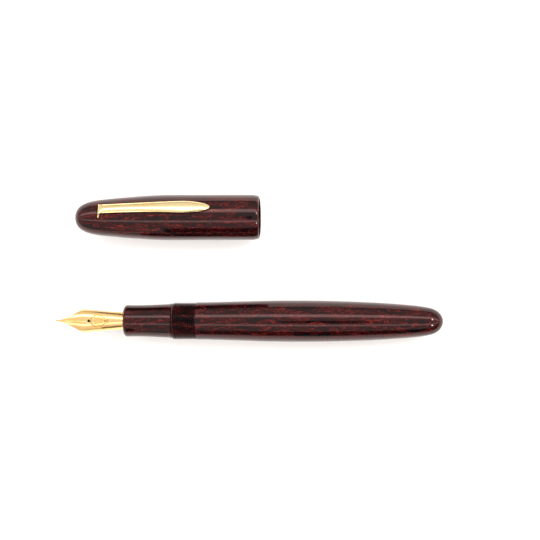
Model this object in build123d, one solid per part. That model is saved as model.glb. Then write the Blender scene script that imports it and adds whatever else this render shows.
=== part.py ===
from build123d import *
import os
from math import cos, radians, sin

# Fountain pen with its screw cap lying beside it, in millimetres.
# +X runs from the nib to the end of the barrel, +Y towards the cap, +Z up.
# The origin is under the middle of the pair, on the surface they lie on.

# ---- driving dimensions ----
PEN_LENGTH = 138.7
AXIS_SPACING = 37.0
BARREL_RADIUS = 7.37
CAP_RADIUS = 8.1
CAP_WAIST_RADIUS = 8.07
CAP_LENGTH = 66.3
CAP_BACK_OFFSET = 7.3
CLIP_LEAN = 23.1

NIB_TIP_X = -PEN_LENGTH / 2
BARREL_END_X = PEN_LENGTH / 2
BELLY_X = BARREL_END_X - 50.7
SECTION_FRONT_X = NIB_TIP_X + 24.85
JOINT_X = SECTION_FRONT_X + 17.55
THREAD_END_X = JOINT_X + 8.7
CAP_END_X = NIB_TIP_X + CAP_BACK_OFFSET
CAP_MOUTH_X = CAP_END_X + CAP_LENGTH

HALF_DEPTH = (AXIS_SPACING + BARREL_RADIUS + CAP_RADIUS) / 2
PEN_PLACE = Pos(0, BARREL_RADIUS - HALF_DEPTH, BARREL_RADIUS)
CAP_PLACE = Pos(0, HALF_DEPTH - CAP_RADIUS, CAP_RADIUS)

# clearances
SEATED = 0.03
RUNNING = 0.05
LOOSE = 0.15

# cap thread, three starts
CAP_THREAD_RADIUS = 6.57
CAP_THREAD_PITCH = 0.715
CAP_THREAD_STARTS = 3
CAP_THREAD_DEPTH = 0.4
THREAD_COLLAR = 0.06
GROOVE_FILL = 0.4
GROOVE_OVERRUN = 0.06

# barrel bore and the section's tenon
BARREL_BORE = 4.35
BARREL_BORE_END_X = 57.0
TENON_RADIUS = 5.2
TENON_LENGTH = 8.0
TENON_PITCH = 1.0
TENON_DEPTH = 0.38
TENON_CHAMFER = 0.4
RING_WIDTH = 1.0
RING_WIRE = 0.45

# section and what it carries
LIP_RADIUS = 5.66
LIP_ROUNDING = 1.35
RIM_RADIUS = 3.76
WAIST_RADIUS = 5.60
SECTION_BACK_RADIUS = 6.05
REAR_RING_HEIGHT = 0.14
HOUSING_RADIUS = 3.72
HOUSING_BORE = 3.2
HOUSING_BACK_X = SECTION_FRONT_X + 14.0
HOUSING_FLANGE = 1.2
SOCKET_RADIUS = 4.05
INLET_RADIUS = 1.2
INLET_BORE = 0.5
INLET_END_X = HOUSING_BACK_X + 8.4
INLET_COLLAR = 0.8

# nib and feed
NIB_RADIUS = 3.12
NIB_SHEET = 0.42
NIB_SHOULDER_X = NIB_TIP_X + 10.0
NIB_SHOULDER = 4.2
NIB_HEEL_X = SECTION_FRONT_X + 9.0
NIB_HEEL_HALF_ANGLE = 100
BREATHER_X = NIB_TIP_X + 12.3
BREATHER_RADIUS = 0.57
TINE_END_HALF = 0.25
HEEL_HALF = NIB_RADIUS + 0.1
SLIT_WIDTH = 0.14
PELLET_RADIUS = 0.42
FEED_RADIUS = 2.62
FEED_FRONT_X = NIB_TIP_X + 7.4
FEED_BACK_X = HOUSING_BACK_X - 2.2
FEED_FIN_PITCH = 0.85
FEED_FIN_GAP = 0.36
FEED_CORE_RADIUS = 1.45
FEED_CHANNEL_WIDTH = 0.5
FEED_CHANNEL_DEPTH = 1.8

# ink converter
CONVERTER_FRONT_X = JOINT_X + 0.8
CONVERTER_SOCKET = 5.5
TUBE_RADIUS = 3.4
TUBE_BORE = 2.8
TUBE_LENGTH = 40.0
BAND_RADIUS = 3.65
BAND_START_X = CONVERTER_FRONT_X + TUBE_LENGTH - 6.0
GUIDE_LENGTH = 4.0
NUT_FLANGE = 2.8
NUT_NECK = 6.0
NUT_NECK_RADIUS = 2.6
BAND_LIP = 1.0
ROD_RADIUS = 1.2
KNOB_RADIUS = 3.6
KNOB_LENGTH = 24.0
KNOB_FLUTES = 16
KNOB_CAVITY_RADIUS = ROD_RADIUS + 0.4
ROD_FLAT = 0.85
ROD_LENGTH = 36.5
ROD_LEAD = 5.5
PISTON_SEAL_LENGTH = 4.0
PISTON_CORE_RADIUS = 1.5
PISTON_FLANGE = 0.5
PISTON_FLANGE_RADIUS = 1.9
SEAL_LIP_LENGTH = 0.7
SEAL_WAIST_DEPTH = 0.45
PISTON_START_X = CONVERTER_FRONT_X + CONVERTER_SOCKET + 1.0

# inner cap and clip
INNER_CAP_RADIUS = 5.5
INNER_CAP_WALL = 0.75
INNER_CAP_FRONT_X = CAP_MOUTH_X - 26.6
INNER_CAP_BACK_X = INNER_CAP_FRONT_X - 25.6
CAP_BORE = 6.45
CAP_CHAMBER_RADIUS = 4.6
CAP_CHAMBER_BACK_X = CAP_END_X + 6.0
CAP_LIP_LENGTH = 2.6
CAP_THREAD_RUN = 8.0
LINER_RIM = 1.2
CLIP_FOOT_X = CAP_END_X + 9.3
CLIP_TIP_X = CAP_END_X + 49.15
CLIP_THICKNESS = 0.9
CLIP_WIDEST = 4.45
CLIP_WIDEST_X = CLIP_TIP_X - 9.0
CLIP_BLADE_FOOT_WIDTH = 3.3
CLIP_BEND_WIDTH = 3.6
FOOT_THICKNESS = 0.6
FOOT_NEAR_HALF = 3.0
FOOT_FAR_HALF = 1.9
FOOT_SLANT = 15
FOOT_TOP_RADIUS = 7.0
FOOT_DEPTH = 4.2
FOOT_TAIL = 2.4
FOOT_TAIL_WIDTH = 3.3
KEEPER_BORE = 1.6
SLOT_CLEARANCE = 0.2


def at(x, radius):
    """A point of a turned outline: distance along the axis and radius."""
    return (x, 0, radius)


def turned(*edges):
    """Solid turned about the X axis from a closed outline."""
    return revolve(make_face(Curve() + list(edges)), axis=Axis.X)


def tube(start_x, end_x, outer, inner=0.0):
    """Plain ring or rod about the X axis."""
    corners = [at(start_x, inner), at(end_x, inner), at(end_x, outer), at(start_x, outer)]
    return turned(Polyline(*corners, close=True))


def grooves(radius, start_x, length, lead, starts, depth, outward=False):
    """V-grooves of a screw thread: cut into a shaft, or outward into a bore."""
    reach = depth if outward else -depth
    mouth = -GROOVE_OVERRUN if outward else GROOVE_OVERRUN
    half_width = lead / starts * GROOVE_FILL
    path = Helix(lead, length, radius, center=(start_x, 0, 0), direction=(1, 0, 0))
    radial = (path @ 0) - Vector(start_x, 0, 0)
    section_plane = Plane(origin=path @ 0, x_dir=radial.normalized(), z_dir=path % 0)
    vee = Polyline((mouth, -half_width), (reach, 0), (mouth, half_width), close=True)
    groove = sweep(section_plane * make_face(vee), path=path, is_frenet=True)
    return [Rot(360 / starts * i, 0, 0) * groove for i in range(starts)]


# ---- barrel and section ----

def barrel():
    """Cigar-shaped barrel, threaded outside for the cap and bored for the converter."""
    shoulder = at(THREAD_END_X, CAP_THREAD_RADIUS + THREAD_COLLAR)
    belly = at(BELLY_X, BARREL_RADIUS)
    end_start = at(BARREL_END_X - 4.1, 4.7)
    swell = Bezier(shoulder, at(BELLY_X - 16.0, 7.02), at(BELLY_X - 16.0, BARREL_RADIUS), belly)
    taper = Bezier(belly, at(BELLY_X + 19.0, BARREL_RADIUS), at(BARREL_END_X - 8.9, 6.1), end_start)
    dome = Bezier(end_start, at(BARREL_END_X - 1.4, 3.88), at(BARREL_END_X, 2.0), at(BARREL_END_X, 0))
    front = Polyline(
        at(BARREL_END_X, 0),
        at(JOINT_X, 0),
        at(JOINT_X, CAP_THREAD_RADIUS - CAP_THREAD_DEPTH),
        at(JOINT_X + CAP_THREAD_DEPTH, CAP_THREAD_RADIUS),
        at(THREAD_END_X, CAP_THREAD_RADIUS),
        at(THREAD_END_X, CAP_THREAD_RADIUS + THREAD_COLLAR),
    )
    body = turned(swell, taper, dome, front)
    bore_point = BARREL_BORE_END_X + BARREL_BORE / 2
    tenon_end = JOINT_X + TENON_LENGTH + 0.8
    hollow = Polyline(
        at(JOINT_X - 1, 0),
        at(JOINT_X - 1, TENON_RADIUS + RUNNING),
        at(tenon_end, TENON_RADIUS + RUNNING),
        at(tenon_end, BARREL_BORE),
        at(BARREL_BORE_END_X, BARREL_BORE),
        at(bore_point, 0),
        close=True,
    )
    body -= turned(hollow)
    body -= tube(JOINT_X - 1, JOINT_X + RING_WIDTH + 0.1, TENON_RADIUS + 0.35)
    lead = CAP_THREAD_PITCH * CAP_THREAD_STARTS
    run = THREAD_END_X - JOINT_X
    body -= grooves(CAP_THREAD_RADIUS, JOINT_X - 0.6, run, lead, CAP_THREAD_STARTS, CAP_THREAD_DEPTH)
    inner_run = TENON_LENGTH - RING_WIDTH
    inner_start = JOINT_X + RING_WIDTH
    body -= grooves(TENON_RADIUS + RUNNING, inner_start, inner_run, TENON_PITCH, 1, TENON_DEPTH, True)
    return body


def section():
    """Grip section: rounded lip, shallow waist, bevelled rear ring and threaded tenon."""
    rim = at(SECTION_FRONT_X, RIM_RADIUS)
    lip = at(SECTION_FRONT_X + LIP_ROUNDING, LIP_RADIUS)
    back_edge = at(JOINT_X - 1.0, SECTION_BACK_RADIUS)
    corner = Bezier(rim, at(SECTION_FRONT_X, 4.95), at(SECTION_FRONT_X + 0.45, LIP_RADIUS), lip)
    waist_front = at(SECTION_FRONT_X + 5.0, WAIST_RADIUS - 0.08)
    waist = Bezier(lip, waist_front, at(SECTION_FRONT_X + 9.5, 5.66), back_edge)
    tenon_end = JOINT_X + TENON_LENGTH
    back = Polyline(
        back_edge,
        at(JOINT_X - 0.75, SECTION_BACK_RADIUS + REAR_RING_HEIGHT),
        at(JOINT_X - 0.3, SECTION_BACK_RADIUS + REAR_RING_HEIGHT),
        at(JOINT_X - SEATED, SECTION_BACK_RADIUS - 0.1),
        at(JOINT_X - SEATED, TENON_RADIUS - RING_WIRE),
        at(JOINT_X + RING_WIDTH, TENON_RADIUS - RING_WIRE),
        at(JOINT_X + RING_WIDTH, TENON_RADIUS),
        at(tenon_end - TENON_CHAMFER, TENON_RADIUS),
        at(tenon_end, TENON_RADIUS - TENON_CHAMFER),
        at(tenon_end, SOCKET_RADIUS),
        at(HOUSING_BACK_X, SOCKET_RADIUS),
        at(HOUSING_BACK_X, HOUSING_RADIUS + SEATED),
        at(SECTION_FRONT_X, HOUSING_RADIUS + SEATED),
        rim,
    )
    body = turned(corner, waist, back)
    thread_x = JOINT_X + RING_WIDTH / 2
    run = tenon_end + 0.5 - thread_x
    body -= grooves(TENON_RADIUS, thread_x, run, TENON_PITCH, 1, TENON_DEPTH)
    return body


def section_o_ring():
    """Seal between section and barrel, at the root of the tenon."""
    middle_x = JOINT_X + RING_WIDTH / 2
    wire_radius = RING_WIRE - 0.08
    middle_radius = TENON_RADIUS - RING_WIRE + wire_radius + SEATED
    wire = Plane.XZ * Pos(middle_x, middle_radius) * Circle(wire_radius)
    return revolve(wire, axis=Axis.X)


def nib_housing():
    """Sleeve pressed into the section that holds nib and feed, flanged at the back."""
    wall_x = HOUSING_BACK_X - 2.0
    outline = Polyline(
        at(SECTION_FRONT_X + 0.35, HOUSING_BORE),
        at(SECTION_FRONT_X + 0.35, HOUSING_RADIUS),
        at(HOUSING_BACK_X + SEATED, HOUSING_RADIUS),
        at(HOUSING_BACK_X + SEATED, SOCKET_RADIUS - SEATED),
        at(HOUSING_BACK_X + HOUSING_FLANGE, SOCKET_RADIUS - SEATED),
        at(HOUSING_BACK_X + HOUSING_FLANGE, INLET_RADIUS + SEATED),
        at(wall_x, INLET_RADIUS + SEATED),
        at(wall_x, HOUSING_BORE),
        close=True,
    )
    return turned(outline)


def ink_inlet():
    """Hollow spigot that the converter pushes onto."""
    collar_x = HOUSING_BACK_X + HOUSING_FLANGE + SEATED
    outline = Polyline(
        at(HOUSING_BACK_X - 1.9, INLET_BORE),
        at(HOUSING_BACK_X - 1.9, INLET_RADIUS),
        at(collar_x, INLET_RADIUS),
        at(collar_x, INLET_RADIUS + INLET_COLLAR),
        at(collar_x + 0.6, INLET_RADIUS + INLET_COLLAR),
        at(collar_x + 0.6, INLET_RADIUS),
        at(INLET_END_X - 0.5, INLET_RADIUS),
        at(INLET_END_X, INLET_RADIUS - 0.4),
        at(INLET_END_X, INLET_BORE),
        close=True,
    )
    return turned(outline)


# ---- nib and feed ----

# across the nib: position, height of its crown above the axis, radius of the arc, half its angle
NIB_STATIONS = [
    (SECTION_FRONT_X, NIB_RADIUS, NIB_RADIUS, NIB_HEEL_HALF_ANGLE),
    (NIB_TIP_X + 17.0, 3.08, 4.0, 84),
    (NIB_SHOULDER_X, 2.6, 4.9, 64),
    (NIB_TIP_X + 4.0, 1.75, 3.9, 50),
    (NIB_TIP_X - 0.4, 1.0, 2.6, 40),
]


def arc_across(x, centre, radius, half_angle):
    """Three points of an arc across the nib, from one edge over the crown to the other."""
    side = radius * sin(radians(half_angle))
    rise = radius * cos(radians(half_angle))
    return [(x, -side, centre + rise), (x, 0, centre + radius), (x, side, centre + rise)]


def nib_section(x, crown, radius, half_angle):
    """Crescent across the nib."""
    centre = crown - radius
    outer = arc_across(x, centre, radius, half_angle)
    inner = arc_across(x, centre, radius - NIB_SHEET, half_angle)
    edges = [
        ThreePointArc(*outer),
        Line(outer[2], inner[2]),
        ThreePointArc(*reversed(inner)),
        Line(inner[0], outer[0]),
    ]
    return make_face(Curve() + edges)


def nib_blank():
    """Curved sheet of the nib before its outline is cut."""
    faces = [nib_section(*station) for station in NIB_STATIONS]
    heel = extrude(faces[0], amount=NIB_HEEL_X - SECTION_FRONT_X, dir=(1, 0, 0))
    return loft(faces) + heel


def space_under_nib():
    """Round space inside the nib's curve, which the feed fills."""
    rings = []
    for x, crown, radius, _ in NIB_STATIONS:
        place = Plane(origin=(x, 0, crown - radius), x_dir=(0, 1, 0), z_dir=(1, 0, 0))
        rings.append(place * Circle(radius - NIB_SHEET - SEATED))
    heel = extrude(rings[0], amount=FEED_BACK_X - SECTION_FRONT_X, dir=(1, 0, 0))
    return loft(rings) + heel


def nib_outline():
    """Plan of the nib: tines, rounded shoulders, waist and heel."""
    tip_x = NIB_TIP_X
    shoulder_x = NIB_SHOULDER_X
    end_x = NIB_HEEL_X + 1
    front_x = tip_x + 0.15
    edges = [
        Line((front_x, -TINE_END_HALF), (front_x, TINE_END_HALF)),
        Line((end_x, -HEEL_HALF), (end_x, HEEL_HALF)),
    ]
    for side in (-1, 1):
        tine_end = (shoulder_x - 1.0, side * 3.72)
        waist_start = (shoulder_x + 0.7, side * (NIB_SHOULDER - 0.04))
        waist_end = (SECTION_FRONT_X + 0.5, side * HEEL_HALF)
        start = (front_x, side * TINE_END_HALF)
        edges.append(Bezier(start, (tip_x + 3.2, side * 0.45), (tip_x + 6.5, side * 2.2), tine_end))
        edges.append(Bezier(tine_end, (shoulder_x - 0.3, side * NIB_SHOULDER), waist_start))
        waist_pulls = [(shoulder_x + 4.5, side * 3.72), (shoulder_x + 9.5, side * 3.2)]
        edges.append(Bezier(waist_start, *waist_pulls, waist_end))
        edges.append(Line(waist_end, (end_x, side * HEEL_HALF)))
    return make_face(Curve() + edges)


def nib():
    """Gold nib with slit and breather hole."""
    prism = extrude(nib_outline(), amount=12, both=True)
    body = nib_blank() & prism
    slit_length = BREATHER_X - NIB_TIP_X + 1
    slit = Pos(BREATHER_X - slit_length / 2, 0, 2) * Box(slit_length, SLIT_WIDTH, 8)
    breather = Pos(BREATHER_X, 0, 3) * Cylinder(BREATHER_RADIUS, 6)
    return body - slit - breather


def nib_tipping():
    """Hard pellet at the tip, split by the slit, under and in front of the tines."""
    pellet = Pos(NIB_TIP_X + PELLET_RADIUS, 0, 0.62) * Sphere(PELLET_RADIUS)
    pellet -= nib_blank() & extrude(nib_outline(), amount=12, both=True)
    pellet -= Pos(NIB_TIP_X, 0, 0) * Box(6, SLIT_WIDTH, 8)
    return pellet


def feed():
    """Comb feed under the nib, with an ink channel on top and fins below."""
    rod = tube(FEED_FRONT_X, FEED_BACK_X, FEED_RADIUS)
    length = SECTION_FRONT_X - FEED_FRONT_X
    low = FEED_RADIUS + 1
    underside = Polyline(
        at(FEED_FRONT_X - 1, -low),
        at(FEED_FRONT_X - 1, 0.75),
        at(FEED_FRONT_X, 0.75),
        at(FEED_FRONT_X + 2.0, -0.6),
        at(FEED_FRONT_X + 0.7 * length, -FEED_RADIUS),
        at(FEED_FRONT_X + 0.7 * length, -low),
        close=True,
    )
    rod -= extrude(make_face(underside), amount=8, both=True)
    rod &= space_under_nib()
    fins = int((length - 4.5) / FEED_FIN_PITCH)
    for i in range(fins):
        x = SECTION_FRONT_X - 0.9 - i * FEED_FIN_PITCH
        gap = tube(x - FEED_FIN_GAP / 2, x + FEED_FIN_GAP / 2, FEED_RADIUS + 1, FEED_CORE_RADIUS)
        rod -= gap & Pos(x, 0, -2.4) * Box(1, 12, 5.6)
    channel_length = FEED_BACK_X - FEED_FRONT_X - 1
    channel = Box(channel_length, FEED_CHANNEL_WIDTH, 2 * FEED_CHANNEL_DEPTH)
    return rod - Pos((FEED_FRONT_X + FEED_BACK_X) / 2, 0, FEED_RADIUS) * channel


# ---- converter ----

def converter_tube():
    """Clear ink reservoir with the socket for the inlet at its front."""
    end_x = CONVERTER_FRONT_X + TUBE_LENGTH
    outline = Polyline(
        at(CONVERTER_FRONT_X, INLET_RADIUS + RUNNING),
        at(CONVERTER_FRONT_X, TUBE_RADIUS - 0.5),
        at(CONVERTER_FRONT_X + 0.5, TUBE_RADIUS),
        at(end_x, TUBE_RADIUS),
        at(end_x, TUBE_BORE),
        at(CONVERTER_FRONT_X + CONVERTER_SOCKET + 0.4, TUBE_BORE),
        at(CONVERTER_FRONT_X + CONVERTER_SOCKET, INLET_RADIUS + RUNNING),
        close=True,
    )
    return turned(outline)


GUIDE_X = CONVERTER_FRONT_X + TUBE_LENGTH + SEATED
NUT_X = GUIDE_X + GUIDE_LENGTH + RUNNING
BAND_END_X = NUT_X + NUT_FLANGE + RUNNING + BAND_LIP
KNOB_X = BAND_END_X + LOOSE


def converter_band():
    """Metal sleeve over the end of the tube; its lip holds the drive nut in."""
    outline = Polyline(
        at(BAND_START_X, TUBE_RADIUS + SEATED),
        at(BAND_START_X, BAND_RADIUS),
        at(BAND_END_X, BAND_RADIUS),
        at(BAND_END_X, NUT_NECK_RADIUS + RUNNING),
        at(BAND_END_X - BAND_LIP, NUT_NECK_RADIUS + RUNNING),
        at(BAND_END_X - BAND_LIP, TUBE_RADIUS + SEATED),
        close=True,
    )
    return turned(outline)


def converter_guide():
    """Bush whose flat-sided hole stops the piston rod from turning."""
    bush = tube(GUIDE_X, GUIDE_X + GUIDE_LENGTH, TUBE_RADIUS)
    middle = Pos(GUIDE_X + GUIDE_LENGTH / 2, 0, 0)
    hole = middle * Rot(0, 90, 0) * Cylinder(ROD_RADIUS + RUNNING, GUIDE_LENGTH + 1)
    flats = middle * Box(GUIDE_LENGTH + 2, 6, 2 * (ROD_FLAT + RUNNING))
    return bush - (hole & flats)


def converter_drive_nut():
    """Nut that turns with the knob and drives the piston rod."""
    outline = Polyline(
        at(NUT_X, ROD_RADIUS + RUNNING),
        at(NUT_X, TUBE_RADIUS - RUNNING),
        at(NUT_X + NUT_FLANGE, TUBE_RADIUS - RUNNING),
        at(NUT_X + NUT_FLANGE, NUT_NECK_RADIUS),
        at(KNOB_X + NUT_NECK, NUT_NECK_RADIUS),
        at(KNOB_X + NUT_NECK, ROD_RADIUS + RUNNING),
        close=True,
    )
    return turned(outline)


def converter_knob():
    """Hollow fluted knob, pressed on the drive nut's neck."""
    end_x = KNOB_X + KNOB_LENGTH
    neck_end = KNOB_X + NUT_NECK + SEATED
    outline = Polyline(
        at(KNOB_X, NUT_NECK_RADIUS + SEATED),
        at(KNOB_X, KNOB_RADIUS - 0.3),
        at(KNOB_X + 0.3, KNOB_RADIUS),
        at(end_x - 0.8, KNOB_RADIUS),
        at(end_x, KNOB_RADIUS - 0.8),
        at(end_x, 0),
        at(end_x - 1.2, 0),
        at(end_x - 1.2, KNOB_CAVITY_RADIUS),
        at(neck_end, KNOB_CAVITY_RADIUS),
        at(neck_end, NUT_NECK_RADIUS + SEATED),
        close=True,
    )
    body = turned(outline)
    flute_length = KNOB_LENGTH - 6
    flute_place = Pos(KNOB_X + 3 + flute_length / 2, 0, KNOB_RADIUS + 0.25)
    flute = flute_place * Rot(0, 90, 0) * Cylinder(0.45, flute_length)
    body -= [Rot(360 / KNOB_FLUTES * i, 0, 0) * flute for i in range(KNOB_FLUTES)]
    return body


def piston_rod():
    """Screwed rod with two flats, from the piston head back into the drive nut."""
    start_x = PISTON_START_X + PISTON_SEAL_LENGTH - PISTON_FLANGE + SEATED
    rod = tube(start_x, start_x + ROD_LENGTH, ROD_RADIUS)
    rod -= grooves(ROD_RADIUS, start_x + 2, ROD_LENGTH - 2, ROD_LEAD, 3, 0.22)
    return rod & Pos(start_x + ROD_LENGTH / 2, 0, 0) * Box(ROD_LENGTH + 1, 6, 2 * ROD_FLAT)


def piston_head():
    """Core of the piston, flanged at the front so that the seal can't come off."""
    end_x = PISTON_START_X + PISTON_SEAL_LENGTH - PISTON_FLANGE
    outline = Polyline(
        at(PISTON_START_X, 0),
        at(PISTON_START_X, PISTON_FLANGE_RADIUS),
        at(PISTON_START_X + PISTON_FLANGE, PISTON_FLANGE_RADIUS),
        at(PISTON_START_X + PISTON_FLANGE, PISTON_CORE_RADIUS),
        at(end_x, PISTON_CORE_RADIUS),
        at(end_x, 0),
        close=True,
    )
    return turned(outline)


def piston_seal():
    """Soft seal with two lips that wipe the tube."""
    start_x = PISTON_START_X + PISTON_FLANGE + SEATED
    end_x = PISTON_START_X + PISTON_SEAL_LENGTH
    lip = TUBE_BORE - RUNNING
    waist = lip - SEAL_WAIST_DEPTH
    slope_length = SEAL_LIP_LENGTH + 0.5
    outline = Polyline(
        at(start_x, PISTON_CORE_RADIUS + SEATED),
        at(start_x, lip),
        at(start_x + SEAL_LIP_LENGTH, lip),
        at(start_x + slope_length, waist),
        at(end_x - slope_length, waist),
        at(end_x - SEAL_LIP_LENGTH, lip),
        at(end_x, lip),
        at(end_x, PISTON_CORE_RADIUS + SEATED),
        close=True,
    )
    return turned(outline)


# ---- cap ----

def cap_shell():
    """Cap, closed and domed at its back, with the thread inside its mouth."""
    cheek = at(CAP_END_X + 11.1, 6.62)
    belly = at(CAP_END_X + 34.5, CAP_RADIUS)
    waist = at(CLIP_TIP_X + 0.6, CAP_WAIST_RADIUS)
    dome = Bezier(at(CAP_END_X, 0), at(CAP_END_X, 4.72), at(CAP_END_X + 4.1, 5.97), cheek)
    flank = Bezier(cheek, at(CAP_END_X + 16.0, 7.07), at(CAP_END_X + 26.3, CAP_RADIUS), belly)
    settle_pulls = [at(CAP_END_X + 39.0, CAP_RADIUS), at(CLIP_TIP_X - 3.0, CAP_WAIST_RADIUS)]
    settle = Bezier(belly, *settle_pulls, waist)
    lip_start = at(CAP_MOUTH_X - 0.8, CAP_WAIST_RADIUS - 0.25)
    lip_end = at(CAP_MOUTH_X, CAP_WAIST_RADIUS - 0.95)
    lip_inner = CAP_THREAD_RADIUS + 0.3
    thread_x = CAP_MOUTH_X - 11.0
    minor = CAP_THREAD_RADIUS - CAP_THREAD_DEPTH + 0.08
    outer = Polyline(
        waist,
        at(CAP_MOUTH_X - CAP_LIP_LENGTH, CAP_WAIST_RADIUS),
        lip_start,
    )
    lip = ThreePointArc(lip_start, at(CAP_MOUTH_X - 0.2, CAP_WAIST_RADIUS - 0.45), lip_end)
    inner = Polyline(
        lip_end,
        at(CAP_MOUTH_X - 0.15, lip_inner),
        at(CAP_MOUTH_X - 2.4, lip_inner),
        at(CAP_MOUTH_X - 2.8, minor),
        at(thread_x, minor),
        at(thread_x - 0.4, CAP_BORE),
        at(INNER_CAP_FRONT_X - LINER_RIM - 0.1, CAP_BORE),
        at(INNER_CAP_FRONT_X - LINER_RIM - 0.1, INNER_CAP_RADIUS + RUNNING),
        at(INNER_CAP_BACK_X - 0.25, INNER_CAP_RADIUS + RUNNING),
        at(INNER_CAP_BACK_X - 0.25, CAP_CHAMBER_RADIUS),
        at(CAP_CHAMBER_BACK_X, CAP_CHAMBER_RADIUS),
        at(CAP_CHAMBER_BACK_X - 1.2, 0),
        at(CAP_END_X, 0),
    )
    body = turned(dome, flank, settle, outer, lip, inner)
    lead = CAP_THREAD_PITCH * CAP_THREAD_STARTS
    body -= grooves(minor, thread_x, CAP_THREAD_RUN, lead, CAP_THREAD_STARTS, CAP_THREAD_DEPTH, True)
    slot_width = FOOT_NEAR_HALF + FOOT_FAR_HALF + 2 * SLOT_CLEARANCE
    slot_place = Pos((FOOT_FAR_HALF - FOOT_NEAR_HALF) / 2, (1.0 - FOOT_DEPTH) / 2)
    slot = slot_place * Rectangle(slot_width, FOOT_DEPTH + 1.0)
    slot = extrude(slot, amount=FOOT_THICKNESS + 2 * SLOT_CLEARANCE)
    return body - foot_plane() * Pos(0, 0, -SLOT_CLEARANCE) * slot


def inner_cap():
    """Liner that closes over the nib and seals on the section's lip."""
    bore = INNER_CAP_RADIUS - INNER_CAP_WALL
    outline = Polyline(
        at(INNER_CAP_FRONT_X, bore),
        at(INNER_CAP_FRONT_X, CAP_BORE - RUNNING),
        at(INNER_CAP_FRONT_X - LINER_RIM, CAP_BORE - RUNNING),
        at(INNER_CAP_FRONT_X - LINER_RIM, INNER_CAP_RADIUS),
        at(INNER_CAP_BACK_X, INNER_CAP_RADIUS),
        at(INNER_CAP_BACK_X, 0),
        at(INNER_CAP_BACK_X + 1.0, 0),
        at(INNER_CAP_BACK_X + 1.0, bore),
        close=True,
    )
    return turned(outline)


def clip_keeper():
    """Ring in the cap's end chamber that traps the tail of the clip's foot."""
    start_x = CLIP_FOOT_X + FOOT_THICKNESS
    end_x = INNER_CAP_BACK_X - 0.35
    ring = tube(start_x, end_x, CAP_CHAMBER_RADIUS - SEATED, KEEPER_BORE)
    relief = Pos(start_x, 0, FOOT_TOP_RADIUS - FOOT_DEPTH + 1.0) * Box(4.4, 2 * FOOT_NEAR_HALF, 3.4)
    return ring - relief


def clip_blade():
    """Leaf-shaped blade that follows the cap just clear of it and comes down at its tip."""
    foot_x = CLIP_FOOT_X
    tip_x = CLIP_TIP_X
    top = CLIP_THICKNESS
    inner_bend = at(foot_x + 0.75, 6.9)
    outer_bend = at(foot_x + 1.9, 6.99 + top)
    heel = at(foot_x, FOOT_TOP_RADIUS)
    touch = at(tip_x - 2.0, CAP_RADIUS + 0.15)
    point = at(tip_x, CAP_RADIUS + 0.7)
    under = Bezier(inner_bend, at(foot_x + 13.0, 8.35), at(tip_x - 14.0, 8.95), touch)
    nose = ThreePointArc(touch, at(tip_x - 0.6, CAP_RADIUS + 0.25), point)
    over = Bezier(point, at(tip_x - 10.0, 9.0 + top), at(foot_x + 12.0, 8.4 + top), outer_bend)
    bend = Bezier(outer_bend, at(foot_x + 1.2, 7.62), at(foot_x + 0.1, 7.5), heel)
    root = Line(heel, inner_bend)
    side_view = Curve() + [under, nose, over, bend, root]
    blank = extrude(make_face(side_view), amount=CLIP_WIDEST, both=True)
    return blank & extrude(blade_plan(), amount=30, both=True)


def blade_plan():
    """Clip from above: flared at the bend, narrow beyond it, widest near its pointed tip."""
    half_bend = CLIP_BEND_WIDTH / 2
    half_foot = CLIP_BLADE_FOOT_WIDTH / 2
    half_wide = CLIP_WIDEST / 2
    end_x = CLIP_FOOT_X - 1
    edges = [Line((end_x, -half_bend), (end_x, half_bend))]
    for side in (-1, 1):
        corner = (CLIP_FOOT_X, side * half_bend)
        flare_end = (CLIP_FOOT_X + 2.3, side * half_foot)
        widest = (CLIP_WIDEST_X, side * half_wide)
        flare_pulls = [(CLIP_FOOT_X + 0.5, side * (half_foot + 0.1)), (CLIP_FOOT_X + 1.2, side * half_foot)]
        swell_pulls = [(CLIP_FOOT_X + 20, side * half_foot), (CLIP_WIDEST_X - 4, side * half_wide)]
        point_pulls = [(CLIP_WIDEST_X + 3, side * half_wide), (CLIP_TIP_X, side * 1.45)]
        edges.append(Line((end_x, side * half_bend), corner))
        edges.append(Bezier(corner, *flare_pulls, flare_end))
        edges.append(Bezier(flare_end, *swell_pulls, widest))
        edges.append(Bezier(widest, *point_pulls, (CLIP_TIP_X, 0)))
    return make_face(Curve() + edges)


def foot_plane():
    """Back face of the clip's foot: its origin is under the bend, its Y axis runs up the foot."""
    slant = radians(FOOT_SLANT)
    normal = (cos(slant), 0, -sin(slant))
    return Plane(origin=(CLIP_FOOT_X, 0, FOOT_TOP_RADIUS), x_dir=(0, 1, 0), z_dir=normal)


def clip():
    """Spring clip: blade, foot flared on the pen's side that goes down through the cap's wall, and tail."""
    top = 0.2
    bend = CLIP_BEND_WIDTH / 2
    near = -FOOT_NEAR_HALF
    flare_end = (near, -1.5)
    near_corner = (near, 0.6 - FOOT_DEPTH)
    edges = [
        Bezier((-bend, top), (-bend - 0.1, -0.5), (near + 0.1, -0.8), flare_end),
        Polyline(flare_end, near_corner, (near + 0.6, -FOOT_DEPTH), (FOOT_FAR_HALF, -FOOT_DEPTH)),
        Polyline((FOOT_FAR_HALF, -FOOT_DEPTH), (FOOT_FAR_HALF, -0.5), (bend, top), (-bend, top)),
    ]
    foot = extrude(make_face(Curve() + edges), amount=FOOT_THICKNESS)
    tail_place = Pos(0, FOOT_THICKNESS / 2 - FOOT_DEPTH, FOOT_TAIL / 2)
    tail = tail_place * Box(FOOT_TAIL_WIDTH, FOOT_THICKNESS, FOOT_TAIL)
    return clip_blade() + foot_plane() * (foot + tail)


def write(name, shape):
    export_step(shape, f"parts/{name}.step")


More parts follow.
